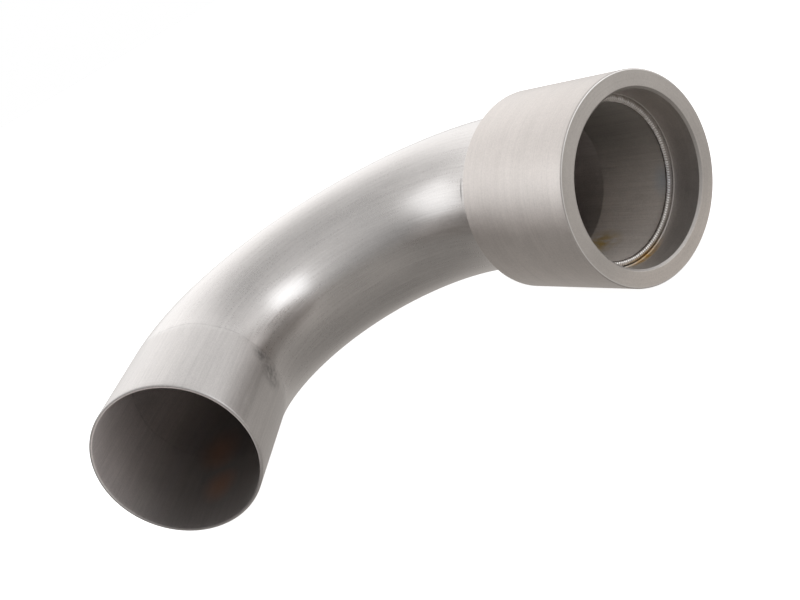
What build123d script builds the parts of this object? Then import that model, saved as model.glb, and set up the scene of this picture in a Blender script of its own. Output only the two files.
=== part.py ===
from build123d import *
import os

# Flue elbow: a thin bent tube with a plain spigot at one end and, at the other, a thick
# turned collar welded over the tube to make a socket for the next pipe.
# Frame: the centre of the spigot's open end is the origin. The tube runs along +Y from there
# and bends towards +X in the plane Z = 0, so that the elbow lies on its side.

# Tube, in millimetres and degrees
tube_outer_d = 80.0
tube_wall = 1.5
bend_radius = 104.0
bend_angle = 135.0
spigot_length = 57.0
neck_length = 12.0
spigot_outer_round = 0.6
spigot_inner_round = 0.3

# Collar. Its bore fits the tube closely, and a wider counterbore at its mouth takes the next pipe.
collar_wall = 8.9
collar_length = 67.5
collar_clearance = 0.05
socket_clearance = 0.5
socket_depth = 16.0
socket_lead_in = 1.0
collar_chamfer = 0.5

# Weld bead between the tube's end and the collar's bore
bead_gap = 0.2
bead_height = 1.8
bead_toe = 0.3
bead_lap = 1.6
bead_nose = 0.5
bead_inner_toe = 0.8
bead_root = 1.5

# Worked out from the sizes above
tube_outer_r = tube_outer_d / 2
tube_inner_r = tube_outer_r - tube_wall
collar_bore_r = tube_outer_r + collar_clearance
socket_r = tube_outer_r + socket_clearance
collar_outer_r = socket_r + collar_wall
insertion = collar_length - socket_depth - bead_gap - bead_height
same_place = 0.01


def tube_route():
    """The tube's centreline, from the spigot's open end to the end inside the collar."""
    spigot = Line((0, 0), (0, spigot_length))
    bend = JernArc(spigot @ 1, spigot % 1, bend_radius, -bend_angle)
    end_run = PolarLine(bend @ 1, neck_length + insertion, direction=bend % 1)
    return spigot, bend, end_run


def ring(place, outer_r, inner_r, length):
    """A plain sleeve that stands on a plane."""
    section = Circle(outer_r) - Circle(inner_r)
    return extrude(place * section, length)


def rim(part, centre, radius):
    """The circular edges of one radius round one centre."""
    circles = part.edges().filter_by(GeomType.CIRCLE)
    centred = [edge for edge in circles if (edge.arc_center - centre).length < same_place]
    return [edge for edge in centred if abs(edge.radius - radius) < same_place]


def make_tube(spigot, bend, end_run):
    """Two straight runs and one bend of the same section, as a bending mandrel leaves them."""
    bend_axis = Axis(bend.arc_center, (0, 0, -1))
    start = Plane(origin=spigot @ 0, z_dir=spigot % 0)
    bend_start = Plane(origin=bend @ 0, z_dir=bend % 0)
    end_start = Plane(origin=end_run @ 0, z_dir=end_run % 0)
    bend_section = bend_start * (Circle(tube_outer_r) - Circle(tube_inner_r))
    tube = ring(start, tube_outer_r, tube_inner_r, spigot_length)
    tube += revolve(bend_section, bend_axis, bend_angle)
    tube += ring(end_start, tube_outer_r, tube_inner_r, neck_length + insertion)
    tube = fillet(rim(tube, spigot @ 0, tube_outer_r), spigot_outer_round)
    return fillet(rim(tube, spigot @ 0, tube_inner_r), spigot_inner_round)


def make_collar(back):
    """A turned sleeve with a stepped bore, a lead-in for the next pipe and its sharp edges broken."""
    mouth = back.offset(collar_length)
    collar = ring(back, collar_outer_r, collar_bore_r, collar_length)
    collar -= extrude(mouth * Circle(socket_r), -socket_depth)
    edges = rim(collar, back.origin, collar_outer_r)
    edges += rim(collar, back.origin, collar_bore_r)
    edges += rim(collar, mouth.origin, collar_outer_r)
    collar = chamfer(edges, collar_chamfer)
    return chamfer(rim(collar, mouth.origin, socket_r), socket_lead_in)


def make_bead(tube_end):
    """One closed ring that crowns over the tube's end and roots in the gap behind it."""
    nose_r = tube_inner_r - bead_lap
    nose = (nose_r, bead_nose)
    crown_r = (collar_bore_r + nose_r) / 2
    crown = ThreePointArc((collar_bore_r, bead_toe), (crown_r, bead_height), nose)
    under = ThreePointArc(
        nose,
        (tube_inner_r - bead_lap / 2, -bead_inner_toe),
        (tube_inner_r, -bead_inner_toe),
    )
    back_edge = Polyline(
        (tube_inner_r, -bead_inner_toe),
        (tube_inner_r, 0),
        (tube_outer_r, 0),
        (tube_outer_r, -bead_root),
        (collar_bore_r, -bead_root),
        (collar_bore_r, bead_toe),
    )
    # In the profile's plane, X is the radius and Y is the distance towards the mouth.
    upright = Vector(0, 0, 1)
    side = upright.cross(tube_end.z_dir)
    profile_plane = Plane(origin=tube_end.origin, x_dir=upright, z_dir=side)
    profile = profile_plane * make_face(crown + under + back_edge)
    return revolve(profile, Axis(tube_end.origin, tube_end.z_dir), 360)


spigot, bend, end_run = tube_route()
collar_back = Plane(origin=(bend @ 1) + (bend % 1) * neck_length, z_dir=bend % 1)
tube_end = Plane(origin=end_run @ 1, z_dir=end_run % 1)

nodes = {
    "bent_tube": make_tube(spigot, bend, end_run),
    "socket_collar": make_collar(collar_back),
    "socket_weld": make_bead(tube_end),
}

os.makedirs("parts", exist_ok=True)
for name, solid in nodes.items():
    export_step(solid, f"parts/{name}.step")
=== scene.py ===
import math
import random
import bmesh
import bpy
from mathutils import Matrix, Vector


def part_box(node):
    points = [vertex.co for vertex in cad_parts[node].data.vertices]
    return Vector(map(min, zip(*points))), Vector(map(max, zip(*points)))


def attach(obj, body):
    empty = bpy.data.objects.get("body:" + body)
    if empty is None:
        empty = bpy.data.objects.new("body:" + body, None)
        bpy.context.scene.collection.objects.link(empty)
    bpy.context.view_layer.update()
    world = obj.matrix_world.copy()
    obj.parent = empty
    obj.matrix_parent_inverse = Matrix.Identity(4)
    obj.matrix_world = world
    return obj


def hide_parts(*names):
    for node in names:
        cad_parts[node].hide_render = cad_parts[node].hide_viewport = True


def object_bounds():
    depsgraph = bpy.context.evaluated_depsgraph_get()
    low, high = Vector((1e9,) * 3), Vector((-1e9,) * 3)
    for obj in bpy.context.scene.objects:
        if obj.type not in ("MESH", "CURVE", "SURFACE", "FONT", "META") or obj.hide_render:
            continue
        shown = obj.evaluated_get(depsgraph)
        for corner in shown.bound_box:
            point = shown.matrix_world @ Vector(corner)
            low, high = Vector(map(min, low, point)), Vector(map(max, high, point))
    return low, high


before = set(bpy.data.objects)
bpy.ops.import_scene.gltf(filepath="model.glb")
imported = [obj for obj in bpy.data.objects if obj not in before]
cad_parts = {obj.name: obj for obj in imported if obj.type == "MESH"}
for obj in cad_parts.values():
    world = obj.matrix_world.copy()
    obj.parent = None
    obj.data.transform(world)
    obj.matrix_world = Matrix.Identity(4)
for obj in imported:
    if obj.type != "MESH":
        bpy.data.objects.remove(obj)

cadLow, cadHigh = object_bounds()
mm = 0.001
hair = 0.05 * mm    # how near counts as the same place

# the elbow's own places, in metres
route = {
    "bendRadius": 104 * mm,
    "bendAngle": math.radians(135),
    "spigotLength": 57 * mm,
    "neckLength": 12 * mm,     # straight tube between the bend and the collar
    "insertion": 49.5 * mm,    # straight tube inside the collar
}
bendCentre = Vector((route["bendRadius"], route["spigotLength"], 0))
endAxis = Vector((math.sin(route["bendAngle"]), math.cos(route["bendAngle"]), 0))
endOut = Vector((-endAxis.y, endAxis.x, 0))
bendEnd = bendCentre + endOut * route["bendRadius"]
bendEndAlong = route["spigotLength"] + route["bendRadius"] * route["bendAngle"]
collarBackAlong = bendEndAlong + route["neckLength"]
tubeEndAlong = collarBackAlong + route["insertion"]
collarBack = bendEnd + endAxis * route["neckLength"]
# turns a piece made upright round Z so that Z is the socket's axis and Y is up
socketPlace = Matrix.Translation(collarBack) @ endAxis.to_track_quat("Z", "Y").to_matrix().to_4x4()


def makeCamera():
    cameraValues = {
        "place": (0.24230, -0.36478, 0.17315),
        "turn": (1.15473, 0.50866, 0.10492),
        "lens": 45.46,
        "shift": (0.0237, 0.0026),
        "clip": (0.01, 50.0),
    }
    data = bpy.data.cameras.new("camera")
    data.lens = cameraValues["lens"]
    data.shift_x, data.shift_y = cameraValues["shift"]
    data.clip_start, data.clip_end = cameraValues["clip"]
    camera = bpy.data.objects.new("camera", data)
    camera.location = cameraValues["place"]
    camera.rotation_euler = cameraValues["turn"]
    bpy.context.scene.collection.objects.link(camera)
    bpy.context.scene.camera = camera


def skyDirection(azimuth, elevation):
    # azimuth 0 is in front of the spigot, 90 is to the elbow's right
    a, e = math.radians(azimuth), math.radians(elevation)
    return Vector((math.sin(a) * math.cos(e), -math.cos(a) * math.cos(e), math.sin(e)))


def glowSum(tree, toward, start, glows):
    # a level that swells towards each glow: azimuth, elevation, tightness, strength
    total = start
    for azimuth, elevation, tightness, strength in glows:
        facing = vectorMath(tree, "DOT_PRODUCT", toward, tuple(skyDirection(azimuth, elevation)), "Value")
        fall = maths(tree, "MULTIPLY", maths(tree, "SUBTRACT", facing, 1.0), tightness)
        total = weighed(tree, total, (maths(tree, "EXPONENT", fall), strength))
    return maths(tree, "MAXIMUM", total, 0.0)


def makeWorld():
    worldValues = {
        "skyColour": (1.0, 1.0, 1.0),
        "skyStart": -0.53,
        "skyGlows": [
            (91, 18, 7.5, 0.80),
            (50, 22, 9.0, 0.20),
            (102, 3, 14.0, 0.32),
            (135, 6, 14.0, 0.60),
            (162, 38, 14.0, -0.20),
            (-108, 25, 25.0, 0.30),
            (-74, 29, 9.0, 0.66),
            (-50, 36, 10.0, 0.10),
            (-162, 14, 2.1, 1.64),
            (-138, 8, 9.0, 0.22),
            (178, 38, 9.0, 0.10),
            (19, 44, 1.0, 1.10),
        ],
        "lowColour": (1.04, 1.0, 0.955),    # what the underside sees
        "lowStart": 0.27,
        "lowGlows": [
            (72, -10, 4.0, 0.13),
            (86, -5, 20.0, 0.36),
            (140, -8, 14.0, 0.18),
            (4, -26, 10.0, 0.10),
            (-160, -30, 7.0, 0.32),
        ],
        "horizon": (-0.035, 0.015),
        "backdrop": (1.0, 1.0, 1.0),
    }
    world = bpy.data.worlds.new("studio")
    bpy.context.scene.world = world
    world.use_nodes = True
    tree = world.node_tree
    tree.nodes.clear()
    toward = tree.nodes.new("ShaderNodeTexCoord").outputs["Generated"]
    split = tree.nodes.new("ShaderNodeSeparateXYZ")
    tree.links.new(toward, split.inputs[0])
    above = smoothStep(tree, split.outputs["Z"], *worldValues["horizon"])
    sky = glowSum(tree, toward, worldValues["skyStart"], worldValues["skyGlows"])
    low = glowSum(tree, toward, worldValues["lowStart"], worldValues["lowGlows"])
    lowLight = scaled(tree, worldValues["lowColour"], low)
    skyLight = scaled(tree, worldValues["skyColour"], sky)
    level = mixColours(tree, above, lowLight, skyLight)
    background = tree.nodes.new("ShaderNodeBackground")
    tree.links.new(level, background.inputs["Color"])
    paper = tree.nodes.new("ShaderNodeBackground")
    paper.inputs["Color"].default_value = (*worldValues["backdrop"], 1)
    chooser = tree.nodes.new("ShaderNodeMixShader")
    rays = tree.nodes.new("ShaderNodeLightPath")
    tree.links.new(rays.outputs["Is Camera Ray"], chooser.inputs[0])
    tree.links.new(background.outputs[0], chooser.inputs[1])
    tree.links.new(paper.outputs[0], chooser.inputs[2])
    out = tree.nodes.new("ShaderNodeOutputWorld")
    tree.links.new(chooser.outputs[0], out.inputs[0])


def makeLights():
    lightValues = {
        "aim": (0.10, 0.10, 0.0),
        "distance": 1.5,
        "boxes": {    # azimuth, elevation, size, radiance, colour
            "rightBox": (84, 19, (1.0, 0.95), 1.02, (0.90, 0.955, 1.0)),
            "leftBox": (-75, 30, (1.0, 1.0), 0.62, (0.93, 0.97, 1.0)),
        },
    }
    for name, (azimuth, elevation, size, radiance, colour) in lightValues["boxes"].items():
        away = skyDirection(azimuth, elevation)
        data = bpy.data.lights.new(name, "AREA")
        data.shape = "RECTANGLE"
        data.size, data.size_y = size
        # an area light's radiance is its power over pi times its area
        data.energy = radiance * math.pi * size[0] * size[1]
        data.color = colour
        light = bpy.data.objects.new(name, data)
        light.location = Vector(lightValues["aim"]) + away * lightValues["distance"]
        light.rotation_euler = away.to_track_quat("Z", "Y").to_euler()
        light.visible_camera = False
        bpy.context.scene.collection.objects.link(light)


def makeFloor():
    floorValues = {
        "size": 12.0,
        "gap": 0.5 * mm,    # under the elbow's lowest point
        "colour": (0.9, 0.9, 0.9),
        "roughness": 0.9,
        "glow": 0.8,
    }
    clearPick()
    height = cadLow.z - floorValues["gap"]
    bpy.ops.mesh.primitive_plane_add(size=floorValues["size"], location=(0, 0, height))
    floor = bpy.context.object
    floor.name = "floor"
    material = bpy.data.materials.new("paleFloor")
    material.use_nodes = True
    shader = material.node_tree.nodes["Principled BSDF"]
    shader.inputs["Base Color"].default_value = (*floorValues["colour"], 1)
    shader.inputs["Roughness"].default_value = floorValues["roughness"]
    shader.inputs["Emission Color"].default_value = (1, 1, 1, 1)
    shader.inputs["Emission Strength"].default_value = floorValues["glow"]
    floor.data.materials.append(material)
    floor.visible_glossy = False


def plug(tree, value, socket):
    # a value may be another node's output, a number or a colour
    if isinstance(value, bpy.types.NodeSocket):
        tree.links.new(value, socket)
    elif isinstance(value, tuple) and socket.type == "RGBA":
        socket.default_value = (*value, 1)
    else:
        socket.default_value = value


def maths(tree, kind, a, b=None, clamp=False):
    node = tree.nodes.new("ShaderNodeMath")
    node.operation = kind
    node.use_clamp = clamp
    plug(tree, a, node.inputs[0])
    if b is not None:
        plug(tree, b, node.inputs[1])
    return node.outputs[0]


def vectorMath(tree, kind, a, b=None, out="Vector"):
    node = tree.nodes.new("ShaderNodeVectorMath")
    node.operation = kind
    plug(tree, a, node.inputs[0])
    if b is not None:
        plug(tree, b, node.inputs[1])
    return node.outputs[out]


def scaled(tree, colour, amount):
    node = tree.nodes.new("ShaderNodeVectorMath")
    node.operation = "SCALE"
    plug(tree, colour, node.inputs[0])
    plug(tree, amount, node.inputs["Scale"])
    return node.outputs[0]


def smoothStep(tree, value, start, end):
    node = tree.nodes.new("ShaderNodeMapRange")
    node.interpolation_type = "SMOOTHSTEP"
    plug(tree, value, node.inputs["Value"])
    node.inputs["From Min"].default_value = start
    node.inputs["From Max"].default_value = end
    return node.outputs["Result"]


def band(tree, value, centre, half, soft):
    # one inside centre +- half, fading to nothing over soft
    off = maths(tree, "ABSOLUTE", maths(tree, "SUBTRACT", value, centre))
    return smoothStep(tree, off, half + soft, half)


def spot(tree, place, centre, radius, stretch=(1, 1, 1)):
    # a soft round patch, longer where stretch is under one
    off = vectorMath(tree, "MULTIPLY", vectorMath(tree, "SUBTRACT", place, centre), stretch)
    return smoothStep(tree, vectorMath(tree, "LENGTH", off, out="Value"), radius, 0.0)


def mixColours(tree, amount, a, b):
    node = tree.nodes.new("ShaderNodeMix")
    node.data_type = "RGBA"
    plug(tree, amount, node.inputs["Factor"])
    plug(tree, a, node.inputs[6])
    plug(tree, b, node.inputs[7])
    return node.outputs[2]


def noise(tree, place, stretch, detail=2.0, rough=0.5):
    # about -1 to 1, so that it can be added to a value or weighed
    node = tree.nodes.new("ShaderNodeTexNoise")
    node.inputs["Scale"].default_value = 1.0
    node.inputs["Detail"].default_value = detail
    node.inputs["Roughness"].default_value = rough
    tree.links.new(vectorMath(tree, "MULTIPLY", place, stretch), node.inputs["Vector"])
    return maths(tree, "MULTIPLY", maths(tree, "SUBTRACT", node.outputs["Fac"], 0.5), 4.0)


def weighed(tree, start, *parts):
    # start + the sum of each part times its weight
    total = start
    for part, weight in parts:
        total = maths(tree, "ADD", maths(tree, "MULTIPLY", part, weight), total)
    return total


def bumped(tree, shader, height, distance):
    node = tree.nodes.new("ShaderNodeBump")
    node.inputs["Strength"].default_value = 1.0
    node.inputs["Distance"].default_value = distance
    plug(tree, height, node.inputs["Height"])
    tree.links.new(node.outputs["Normal"], shader.inputs["Normal"])


def startSteel(name, attribute):
    material = bpy.data.materials.new(name)
    material.use_nodes = True
    tree = material.node_tree
    shader = tree.nodes["Principled BSDF"]
    shader.inputs["Metallic"].default_value = 1.0
    node = tree.nodes.new("ShaderNodeAttribute")
    node.attribute_name = attribute
    place = node.outputs["Vector"]
    split = tree.nodes.new("ShaderNodeSeparateXYZ")
    tree.links.new(place, split.inputs[0])
    across = vectorMath(tree, "MULTIPLY", place, (1, 1, 0))
    radius = vectorMath(tree, "LENGTH", across, out="Value")
    return material, tree, shader, place, split.outputs["Z"], radius


def ringPoint(radius, angle, along):
    a = math.radians(angle)
    return (radius * math.cos(a), radius * math.sin(a), along)


def markOn(tree, place, radius, mark, stretch=(1, 1, 1)):
    # a soft patch, from its angle round a ring, its place along and its size
    angle, along, size = mark
    return spot(tree, place, ringPoint(radius, angle, along), size, stretch)


def clearPick():
    if bpy.context.object and bpy.context.object.mode != "OBJECT":
        bpy.ops.object.mode_set(mode="OBJECT")
    bpy.ops.object.select_all(action="DESELECT")


def pick(test):
    # selects the points whose place and index pass, and the edges and faces between them
    mesh = bmesh.from_edit_mesh(bpy.context.object.data)
    for face in mesh.faces:
        face.select = False
    for edge in mesh.edges:
        edge.select = False
    for vert in mesh.verts:
        vert.select = bool(test(vert.co, vert.index))
    mesh.select_flush(True)
    bmesh.update_edit_mesh(bpy.context.object.data)


def startRing(name, radius, sides, centre=(0, 0, 0), turn=(0, 0, 0)):
    clearPick()
    bpy.ops.mesh.primitive_circle_add(vertices=sides, radius=radius, location=centre, rotation=turn)
    piece = bpy.context.object
    piece.name = name
    bpy.ops.object.transform_apply(location=True, rotation=True, scale=True)
    bpy.ops.object.mode_set(mode="EDIT")
    bpy.ops.mesh.select_mode(type="VERT")
    bpy.ops.mesh.select_all(action="SELECT")
    return piece


def pullRing(step):
    bpy.ops.mesh.extrude_edges_move(TRANSFORM_OT_translate={"value": tuple(step)})


def turnProfile(stations):
    # pulls the first ring through (radius, height) stations and back onto itself
    radius, height = stations[0]
    for nextRadius, nextHeight in [*stations[1:], stations[0]]:
        pullRing((0, 0, nextHeight - height))
        factor = nextRadius / radius
        bpy.ops.transform.resize(value=(factor, factor, 1), center_override=(0, 0, nextHeight))
        radius, height = nextRadius, nextHeight
    mendSkin()


def mendSkin():
    bpy.ops.mesh.select_all(action="SELECT")
    bpy.ops.mesh.remove_doubles(threshold=0.002 * mm)
    bpy.ops.mesh.normals_make_consistent(inside=False)


def useModifier(piece, kind, **values):
    modifier = piece.modifiers.new(kind.lower(), kind)
    for name, value in values.items():
        setattr(modifier, name, value)
    bpy.ops.object.modifier_apply(modifier=modifier.name)


def keepPlace(piece, attribute, rule):
    # stores a place that follows the surface, for the materials
    data = piece.data.attributes.new(attribute, "FLOAT_VECTOR", "POINT")
    for vert, item in zip(piece.data.vertices, data.data):
        item.vector = rule(vert.co)


def setDown(piece, place):
    # puts a piece that was made upright into its place, and leaves its origin at the frame's
    piece.matrix_world = place
    clearPick()
    piece.select_set(True)
    bpy.context.view_layer.objects.active = piece
    bpy.ops.object.transform_apply(location=True, rotation=True, scale=True)


def finishPiece(piece, node, material):
    piece.data.materials.clear()
    piece.data.materials.append(material)
    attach(piece, "root")
    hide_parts(node)
    print("finished", piece.name, len(piece.data.vertices), "points")


def straightPlace(point):
    # where a point of the tube would be if the tube were straight: out of the bend, up, along
    if point.y < route["spigotLength"] and point.x < route["bendRadius"]:
        return (-point.x, point.z, point.y)
    arm = point - bendCentre
    angle = math.atan2(arm.y, -arm.x)
    if 0 <= angle < route["bendAngle"]:
        out = math.hypot(arm.x, arm.y) - route["bendRadius"]
        return (out, point.z, route["spigotLength"] + angle * route["bendRadius"])
    arm = point - bendEnd
    return (arm.dot(endOut), point.z, bendEndAlong + arm.dot(endAxis))


def makeTube():
    tubeValues = {
        "wall": 1.5 * mm,
        "sides": 160,
        "spigotSteps": 14,
        "bendSteps": 90,
        "endSteps": 14,
        "markDepth": 0.04 * mm,      # the die's edge leaves a faint ring at each end of the bend
        "markStep": 0.6 * mm,
        "outerRound": 0.6 * mm,
        "innerRound": 0.3 * mm,
        "roundSteps": 4,
        "smoothAngle": math.radians(40),
    }
    v = tubeValues
    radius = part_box("bent_tube")[1].z
    tube = startRing("steelTube", radius, v["sides"], turn=(math.radians(-90), 0, 0))
    longRun = route["spigotLength"] - 2 * v["markStep"]
    for _ in range(v["spigotSteps"]):
        pullRing((0, longRun / v["spigotSteps"], 0))
    for _ in range(2):
        pullRing((0, v["markStep"], 0))
    bpy.ops.mesh.spin(steps=v["bendSteps"], angle=route["bendAngle"], center=bendCentre, axis=(0, 0, 1))
    for _ in range(2):
        pullRing(endAxis * v["markStep"])
    longRun = route["neckLength"] + route["insertion"] - 2 * v["markStep"]
    for _ in range(v["endSteps"]):
        pullRing(endAxis * (longRun / v["endSteps"]))
    mendSkin()
    # the marks at the ends of the bend
    nearMark = route["spigotLength"] - v["markStep"]
    farMark = bendEndAlong + v["markStep"]

    def onRing(point, along):
        return abs(straightPlace(point)[2] - along) < hair

    pick(lambda point, _: onRing(point, nearMark) or onRing(point, farMark))
    bpy.ops.transform.shrink_fatten(value=-v["markDepth"])
    bpy.ops.object.mode_set(mode="OBJECT")
    useModifier(tube, "SOLIDIFY", thickness=v["wall"], offset=-1, use_even_offset=True)
    # the spigot's rim
    bpy.ops.object.mode_set(mode="EDIT")
    for rimRadius, size in ((radius, v["outerRound"]), (radius - v["wall"], v["innerRound"])):
        pick(lambda p, _: p.y < hair and abs(math.hypot(p.x, p.z) - rimRadius) < hair)
        bpy.ops.mesh.bevel(offset=size, segments=v["roundSteps"], profile=0.5, affect="EDGES")
    bpy.ops.object.mode_set(mode="OBJECT")
    bpy.ops.object.shade_smooth_by_angle(angle=v["smoothAngle"])
    keepPlace(tube, "straightPlace", straightPlace)
    finishPiece(tube, "bent_tube", tubeSteel(radius, radius - v["wall"]))


def tubeSteel(outerRadius, innerRadius):
    looks = {
        "steel": (0.64, 0.613, 0.597),
        "inside": (0.76, 0.70, 0.68),         # towards the spigot
        # painted shade: the inner wall's lower side towards the spigot is painted darker
        "insideShadedLow": (0.24, 0.222, 0.213),
        "insideEnd": (0.39, 0.362, 0.335),    # where the weld was cleaned
        # painted light: the lower side of the cleaned part of the inner wall is painted lighter, where
        # light coming in through the socket falls
        "insideEndLitLow": (0.78, 0.715, 0.66),
        # the colour of the bruises and the die's line, also used for a painted shade patch
        "bruise": (0.20, 0.19, 0.185),
        "rust": (0.50, 0.24, 0.13),
        "straw": (0.60, 0.42, 0.13),
        "blue": (0.42, 0.50, 0.58),
        "roughness": 0.30,
        "spigotRoughness": 0.12,
        "insideRoughness": 0.50,
        "endRoughness": 0.62,
        "insideDull": 0.20,                   # the share of the inner skin that isn't bare metal
        "lowDull": 0.50,                      # and what is added on the cleaned part's lower side
        "cleanedLength": 43.5 * mm,           # from the tube's end
        "dieLineShow": 0.3,                   # how strongly each of these three shows
        "rustShow": 0.45,
        "coolShow": 0.5,
        "relief": 0.004 * mm,
        # marks: angle round the tube, place along it, size
        "upperBruise": (168, 54 * mm, 8 * mm),
        "lowerBruise": (-178, 49 * mm, 9 * mm),
        # painted shade: a thin dark patch on the bend's inner upper side near its far end, standing for
        # shade beside the collar
        "paintedShadePatch": (147, bendEndAlong - 1.5 * mm, 9 * mm),
        "farRust": (-65, 61 * mm, 13 * mm),
        "nearRust": (-76, 33 * mm, 11 * mm),
        "heat": (-81, collarBackAlong + 17 * mm, 11 * mm),
        "cool": (-32, tubeEndAlong - 3 * mm, 9 * mm),
    }
    material, tree, shader, place, along, radius = startSteel("drawnSteel", "straightPlace")
    streaks = noise(tree, place, (700, 700, 12), 3)
    fineStreaks = noise(tree, place, (2600, 2600, 45), 2)
    clouds = noise(tree, place, (60, 60, 32), 4, 0.6)
    speckle = noise(tree, place, (950, 950, 700), 2, 0.6)
    grain = noise(tree, place, (2100, 2100, 1500), 3, 0.7)
    tone = weighed(tree, 1.0, (streaks, 0.055), (fineStreaks, 0.06), (clouds, 0.045), (speckle, 0.05),
                   (grain, 0.09))
    # the spigot is out of the die's reach, so it keeps the duller skin
    border = weighed(tree, along, (clouds, 1.6 * mm))
    spigot = smoothStep(tree, border, route["spigotLength"] + 2 * mm, route["spigotLength"] - 4 * mm)
    inside = smoothStep(tree, radius, innerRadius + 0.8 * mm, innerRadius + 0.4 * mm)
    # the wall behind the weld was cleaned up to a line
    faded = smoothStep(tree, along, collarBackAlong - 40 * mm, collarBackAlong + 25 * mm)
    lineAlong = tubeEndAlong - looks["cleanedLength"]
    line = smoothStep(tree, along, lineAlong, lineAlong + 1.5 * mm)
    cleaned = weighed(tree, 0.0, (faded, 0.5), (line, 0.5))
    split = tree.nodes.new("ShaderNodeSeparateXYZ")
    tree.links.new(place, split.inputs[0])
    # the inner wall's colour changes with height: painted shade low down towards the spigot, painted light
    # low down at the cleaned end
    lower = smoothStep(tree, split.outputs["Y"], 10 * mm, -36 * mm)
    wall = mixColours(tree, lower, looks["inside"], looks["insideShadedLow"])
    cleanedWallWithPaintedLight = mixColours(tree, lower, looks["insideEnd"], looks["insideEndLitLow"])
    wall = mixColours(tree, cleaned, wall, cleanedWallWithPaintedLight)
    colour = scaled(tree, mixColours(tree, inside, looks["steel"], wall), tone)
    atEnd = maths(tree, "MULTIPLY", cleaned, inside)
    lowSkin = maths(tree, "MULTIPLY", atEnd, lower)
    dull = weighed(tree, 0.0, (inside, looks["insideDull"]), (lowSkin, looks["lowDull"]))
    plug(tree, maths(tree, "SUBTRACT", 1.0, dull), shader.inputs["Metallic"])
    # bruises beside the die's edge
    blotch = smoothStep(tree, noise(tree, place, (420, 420, 300), 4, 0.65), -0.9, 0.9)
    bruise = maths(tree, "MAXIMUM",
                   markOn(tree, place, outerRadius, looks["upperBruise"]),
                   markOn(tree, place, outerRadius, looks["lowerBruise"], (1, 0.8, 0.8)))
    colour = mixColours(tree, maths(tree, "MULTIPLY", bruise, blotch), colour, looks["bruise"])
    # the die's edge shows as a thin darker line
    dieLine = band(tree, border, route["spigotLength"], 0.25 * mm, 0.6 * mm)
    dieLine = maths(tree, "MULTIPLY", maths(tree, "MULTIPLY", dieLine, blotch), looks["dieLineShow"])
    colour = mixColours(tree, dieLine, colour, looks["bruise"])
    # painted shade patch near the collar, drawn in the bruise colour
    paintedShadePatch = markOn(tree, place, outerRadius, looks["paintedShadePatch"], (1, 1, 7))
    colour = mixColours(tree, paintedShadePatch, colour, looks["bruise"])
    # rust inside the spigot, and the colours that the weld's heat left on the inner wall
    rust = maths(tree, "MAXIMUM",
                 markOn(tree, place, innerRadius, looks["farRust"], (1, 1, 0.6)),
                 markOn(tree, place, innerRadius, looks["nearRust"], (1, 1, 0.6)))
    colour = mixColours(tree, maths(tree, "MULTIPLY", rust, looks["rustShow"]), colour, looks["rust"])
    patch = markOn(tree, place, innerRadius, looks["heat"], (1, 1.5, 0.7))
    uneven = smoothStep(tree, noise(tree, place, (240, 240, 120), 3), -0.9, 0.5)
    heat = maths(tree, "MULTIPLY", patch, uneven)
    colour = mixColours(tree, maths(tree, "MULTIPLY", heat, inside), colour, looks["straw"])
    cool = markOn(tree, place, innerRadius, looks["cool"], (1, 0.7, 1))
    colour = mixColours(tree, maths(tree, "MULTIPLY", cool, looks["coolShow"]), colour, looks["blue"])
    plug(tree, colour, shader.inputs["Base Color"])
    rough = weighed(tree, looks["roughness"], (streaks, 0.03), (clouds, 0.03), (grain, 0.03),
                    (speckle, 0.02), (spigot, looks["spigotRoughness"]),
                    (inside, looks["insideRoughness"] - looks["roughness"]),
                    (atEnd, looks["endRoughness"] - looks["insideRoughness"]))
    plug(tree, rough, shader.inputs["Roughness"])
    height = weighed(tree, 0.0, (streaks, 1.0), (fineStreaks, 0.5), (grain, 0.55), (clouds, 2.0))
    bumped(tree, shader, height, looks["relief"])
    return material


def makeCollar():
    collarValues = {
        "length": 67.5 * mm,
        "boreRadius": 40.05 * mm,
        "socketRadius": 40.5 * mm,
        "socketDepth": 16 * mm,
        "leadIn": 1 * mm,
        "chamfer": 0.5 * mm,
        "sides": 224,
        "edgeRound": 0.18 * mm,
        "edgeSteps": 2,
        "edgeAngle": math.radians(30),    # sharper edges than this are rounded
        "backRound": 0.45 * mm,
        "backSteps": 5,
    }
    v = collarValues
    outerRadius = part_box("socket_collar")[1].z
    cut, length = v["chamfer"], v["length"]
    stations = [
        (v["boreRadius"] + cut, 0),
        (outerRadius - cut, 0),
        (outerRadius, cut),
        (outerRadius, length - cut),
        (outerRadius - cut, length),
        (v["socketRadius"] + v["leadIn"], length),
        (v["socketRadius"], length - v["leadIn"]),
        (v["socketRadius"], length - v["socketDepth"]),
        (v["boreRadius"], length - v["socketDepth"]),
        (v["boreRadius"], cut),
    ]
    collar = startRing("turnedCollar", stations[0][0], v["sides"])
    turnProfile(stations)
    # the back's outer edge is rounder than the others
    pick(lambda p, _: abs(p.z - cut) < hair and abs(math.hypot(p.x, p.y) - outerRadius) < hair)
    bpy.ops.mesh.bevel(offset=v["backRound"], segments=v["backSteps"], profile=0.5, affect="EDGES")
    bpy.ops.object.mode_set(mode="OBJECT")
    bpy.ops.object.shade_smooth()
    useModifier(collar, "BEVEL", width=v["edgeRound"], segments=v["edgeSteps"], limit_method="ANGLE",
                angle_limit=v["edgeAngle"], harden_normals=True)
    keepPlace(collar, "turnedPlace", lambda point: point)
    setDown(collar, socketPlace)
    finishPiece(collar, "socket_collar", collarSteel(v, outerRadius))


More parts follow.
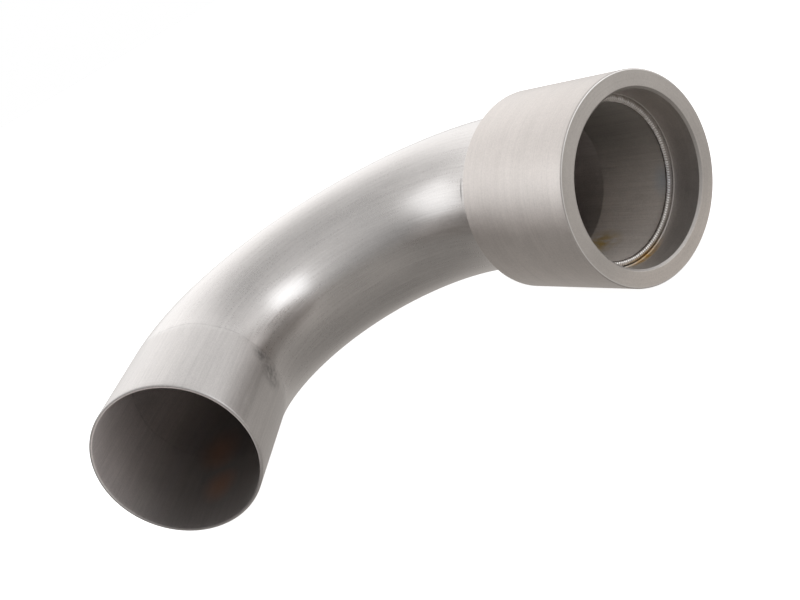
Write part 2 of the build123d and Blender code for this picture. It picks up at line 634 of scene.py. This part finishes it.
def collarSteel(sizes, outerRadius):
    looks = {
        "steel": (0.67, 0.625, 0.595),
        "face": (0.57, 0.535, 0.505),
        # painted light: the face's lower side is painted lighter
        "faceLitLow": (0.72, 0.665, 0.62),
        "lip": (0.50, 0.47, 0.445),
        "edge": (0.93, 0.90, 0.88),
        "straw": (0.62, 0.42, 0.16),
        "bore": (0.60, 0.565, 0.54),
        "roughness": 0.44,
        "faceRoughness": 0.52,
        "boreRoughness": 0.53,
        "edgeRoughness": -0.08,    # added to the roughness
        "edgeWear": 0.85,
        "strawAngle": -95,
        "strawSize": 17 * mm,
        "relief": 0.003 * mm,
    }
    material, tree, shader, place, along, radius = startSteel("turnedSteel", "turnedPlace")
    # the tool's feed runs along the walls and across the faces
    feed = maths(tree, "ADD", along, radius)
    join = tree.nodes.new("ShaderNodeCombineXYZ")
    split = tree.nodes.new("ShaderNodeSeparateXYZ")
    tree.links.new(place, split.inputs[0])
    tree.links.new(split.outputs["X"], join.inputs["X"])
    tree.links.new(split.outputs["Y"], join.inputs["Y"])
    tree.links.new(feed, join.inputs["Z"])
    lathePlace = join.outputs[0]
    turning = noise(tree, lathePlace, (14, 14, 1900), 2, 0.6)
    broad = noise(tree, lathePlace, (30, 30, 260), 3, 0.6)
    mottle = noise(tree, place, (85, 85, 85), 5, 0.65)
    grain = noise(tree, place, (1500, 1500, 1500), 3, 0.7)
    speckle = noise(tree, place, (800, 800, 800), 2, 0.6)
    tone = weighed(tree, 1.0, (turning, 0.05), (broad, 0.03), (mottle, 0.045), (speckle, 0.035),
                   (grain, 0.08))
    inSocket = smoothStep(tree, radius, sizes["socketRadius"] + 0.3 * mm, sizes["socketRadius"] + 0.1 * mm)
    face = smoothStep(tree, along, sizes["length"] - 0.4 * mm, sizes["length"] - 0.1 * mm)
    # the face is painted lighter towards the bottom: painted light
    lower = smoothStep(tree, split.outputs["Y"], -15 * mm, -45 * mm)
    faceColour = mixColours(tree, lower, looks["face"], looks["faceLitLow"])
    colour = mixColours(tree, face, looks["steel"], faceColour)
    lipBack = sizes["length"] - sizes["leadIn"]
    lipRadius = sizes["socketRadius"] + sizes["leadIn"]
    onLip = maths(tree, "MULTIPLY",
                  smoothStep(tree, along, lipBack, lipBack + 0.2 * mm),
                  smoothStep(tree, radius, lipRadius + 0.1 * mm, lipRadius - 0.1 * mm))
    colour = mixColours(tree, onLip, mixColours(tree, inSocket, colour, looks["bore"]), looks["lip"])
    colour = scaled(tree, colour, tone)
    # wear brightens the two edges of the mouth and the edge at the back
    rimGap = maths(tree, "ABSOLUTE", maths(tree, "SUBTRACT", radius, outerRadius - sizes["chamfer"]))
    mouthGap = maths(tree, "ABSOLUTE", maths(tree, "SUBTRACT", along, sizes["length"]))
    mouthEdge = smoothStep(tree, maths(tree, "ADD", rimGap, mouthGap), 0.45 * mm, 0.15 * mm)
    backGap = maths(tree, "SUBTRACT", along, radius)
    backEdge = smoothStep(tree, backGap, 0.9 * mm - outerRadius, 0.3 * mm - outerRadius)
    edge = maths(tree, "MAXIMUM", mouthEdge, backEdge)
    colour = mixColours(tree, maths(tree, "MULTIPLY", edge, looks["edgeWear"]), colour, looks["edge"])
    # straw colour left by the weld's heat
    shoulder = sizes["length"] - sizes["socketDepth"]
    near = band(tree, along, shoulder + 0.8 * mm, 1.2 * mm, 1.6 * mm)
    patch = markOn(tree, place, sizes["socketRadius"], (looks["strawAngle"], shoulder, looks["strawSize"]))
    straw = maths(tree, "MULTIPLY", maths(tree, "MULTIPLY", near, patch), inSocket)
    uneven = weighed(tree, 0.8, (noise(tree, place, (300, 300, 300), 3), 0.5))
    straw = maths(tree, "MULTIPLY", straw, uneven, clamp=True)
    colour = mixColours(tree, straw, colour, looks["straw"])
    plug(tree, colour, shader.inputs["Base Color"])
    rough = weighed(tree, looks["roughness"], (turning, 0.02), (mottle, 0.03), (grain, 0.03),
                    (edge, looks["edgeRoughness"]), (face, looks["faceRoughness"] - looks["roughness"]),
                    (inSocket, looks["boreRoughness"] - looks["roughness"]))
    plug(tree, rough, shader.inputs["Roughness"])
    height = weighed(tree, 0.0, (turning, 1.0), (broad, 1.0), (grain, 0.6))
    bumped(tree, shader, height, looks["relief"])
    return material


def arcThrough(a, b, c, steps):
    # points on the arc from a through b to c
    (ax, ay), (bx, by), (cx, cy) = a, b, c
    d = 2 * (ax * (by - cy) + bx * (cy - ay) + cx * (ay - by))
    aa, bb, cc = ax * ax + ay * ay, bx * bx + by * by, cx * cx + cy * cy
    ux = (aa * (by - cy) + bb * (cy - ay) + cc * (ay - by)) / d
    uy = (aa * (cx - bx) + bb * (ax - cx) + cc * (bx - ax)) / d
    start, middle, end = (math.atan2(y - uy, x - ux) for x, y in (a, b, c))
    turn = (end - start) % (2 * math.pi)
    if (middle - start) % (2 * math.pi) > turn:
        turn -= 2 * math.pi
    size = math.hypot(ax - ux, ay - uy)
    angles = [start + turn * k / steps for k in range(steps + 1)]
    return [(ux + size * math.cos(t), uy + size * math.sin(t)) for t in angles]


def makeWeld():
    weldValues = {
        "collarRadius": 40.05 * mm,
        "tubeRadius": 40 * mm,
        "innerRadius": 38.5 * mm,
        "noseRadius": 36.9 * mm,
        "toe": 0.3 * mm,
        "nose": 0.5 * mm,
        "height": 1.8 * mm,
        "innerToe": 0.8 * mm,
        "root": 1.5 * mm,
        "ripples": 190,
        "pointsPerRipple": 4,
        "rippleHeight": 0.26 * mm,
        "rippleSlant": 1.6,         # degrees from one toe to the other
        "rippleBow": 1.2,           # degrees in the middle
        "unevenness": 0.08 * mm,
        "seed": 7,
        "crownSteps": 10,
        "underSteps": 4,
        "smoothAngle": math.radians(50),
    }
    v = weldValues
    nose = (v["noseRadius"], v["nose"])
    middle = ((v["collarRadius"] + v["noseRadius"]) / 2, v["height"])
    crown = arcThrough((v["collarRadius"], v["toe"]), middle, nose, v["crownSteps"])
    halfWay = ((v["innerRadius"] + v["noseRadius"]) / 2, -v["innerToe"])
    under = arcThrough(nose, halfWay, (v["innerRadius"], -v["innerToe"]), v["underSteps"])
    back = [
        (v["innerRadius"], 0),
        (v["tubeRadius"], 0),
        (v["tubeRadius"], -v["root"]),
        (v["collarRadius"], -v["root"]),
    ]
    stations = crown + under[1:] + back
    sides = v["ripples"] * v["pointsPerRipple"]
    weld = startRing("weldBead", stations[0][0], sides, (0, 0, stations[0][1]))
    turnProfile(stations)
    bpy.ops.object.mode_set(mode="OBJECT")
    keepPlace(weld, "turnedPlace", lambda point: point)
    bpy.ops.object.mode_set(mode="EDIT")
    # ripples: one line of points in every few stands proud, some more than others
    draw = random.Random(v["seed"])
    lift = [draw.choice((-1, 0, 1)) for _ in range(v["ripples"])]
    rows = crown[1:-1]

    def rowOf(point):
        r = math.hypot(point.x, point.y)
        gaps = [abs(r - a) + abs(point.z - b) for a, b in rows]
        best = min(gaps)
        return gaps.index(best) if best < hair else None

    rowPoints = [set() for _ in rows]
    proudPoints = {-1: set(), 0: set(), 1: set()}
    for vert in bmesh.from_edit_mesh(weld.data).verts:
        row = rowOf(vert.co)
        if row is None:
            continue
        rowPoints[row].add(vert.index)
        turn = math.atan2(vert.co.y, vert.co.x) / (2 * math.pi) % 1.0
        step = round(turn * sides) % sides
        if step % v["pointsPerRipple"] == 0:
            proudPoints[lift[step // v["pointsPerRipple"]]].add(vert.index)
    for kind, points in proudPoints.items():
        pick(lambda _, index: index in points)
        bpy.ops.transform.shrink_fatten(value=v["rippleHeight"] + kind * v["unevenness"])
    # the ripples lean, and bow in the middle of the bead
    for row, points in enumerate(rowPoints):
        part = row / (len(rows) - 1)
        lean = v["rippleSlant"] * part + v["rippleBow"] * math.sin(math.pi * part)
        pick(lambda _, index: index in points)
        bpy.ops.transform.rotate(value=math.radians(lean), orient_axis="Z",
                                 center_override=(0, 0, rows[row][1]))
    bpy.ops.object.mode_set(mode="OBJECT")
    bpy.ops.object.shade_smooth_by_angle(angle=v["smoothAngle"])
    setDown(weld, socketPlace @ Matrix.Translation((0, 0, route["insertion"])))
    finishPiece(weld, "socket_weld", weldSteel(v))


def weldSteel(sizes):
    looks = {
        "steel": (0.62, 0.585, 0.555),
        "straw": (0.66, 0.44, 0.17),
        "blue": (0.40, 0.44, 0.52),
        "roughness": 0.25,
        "strawMark": (-90, 0.0, 20 * mm),    # angle round the bead, place along, size
        "blueMark": (-30, 0.0, 14 * mm),
        "blueShow": 0.35,
        "relief": 0.004 * mm,
    }
    material, tree, shader, place, _, radius = startSteel("weldSteel", "turnedPlace")
    clouds = noise(tree, place, (220, 220, 220), 3, 0.6)
    grain = noise(tree, place, (1800, 1800, 1800), 3, 0.7)
    tone = weighed(tree, 1.0, (clouds, 0.05), (grain, 0.05))
    colour = scaled(tree, looks["steel"], tone)
    toe = smoothStep(tree, radius, sizes["tubeRadius"] - 1.3 * mm, sizes["tubeRadius"] - 0.2 * mm)
    patch = markOn(tree, place, sizes["tubeRadius"], looks["strawMark"])
    heated = maths(tree, "MULTIPLY", toe, patch)
    straw = maths(tree, "MULTIPLY", weighed(tree, 0.75, (clouds, 0.4)), heated, clamp=True)
    colour = mixColours(tree, straw, colour, looks["straw"])
    coolPatch = markOn(tree, place, sizes["innerRadius"], looks["blueMark"])
    colour = mixColours(tree, maths(tree, "MULTIPLY", coolPatch, looks["blueShow"]), colour, looks["blue"])
    plug(tree, colour, shader.inputs["Base Color"])
    plug(tree, weighed(tree, looks["roughness"], (clouds, 0.03), (grain, 0.03)), shader.inputs["Roughness"])
    bumped(tree, shader, weighed(tree, 0.0, (clouds, 1.0), (grain, 0.3)), looks["relief"])
    return material


bpy.context.scene.view_settings.view_transform = "Standard"
makeCamera()
makeWorld()
makeLights()
makeFloor()
print("camera, light and floor are in place")
makeTube()
makeCollar()
makeWeld()
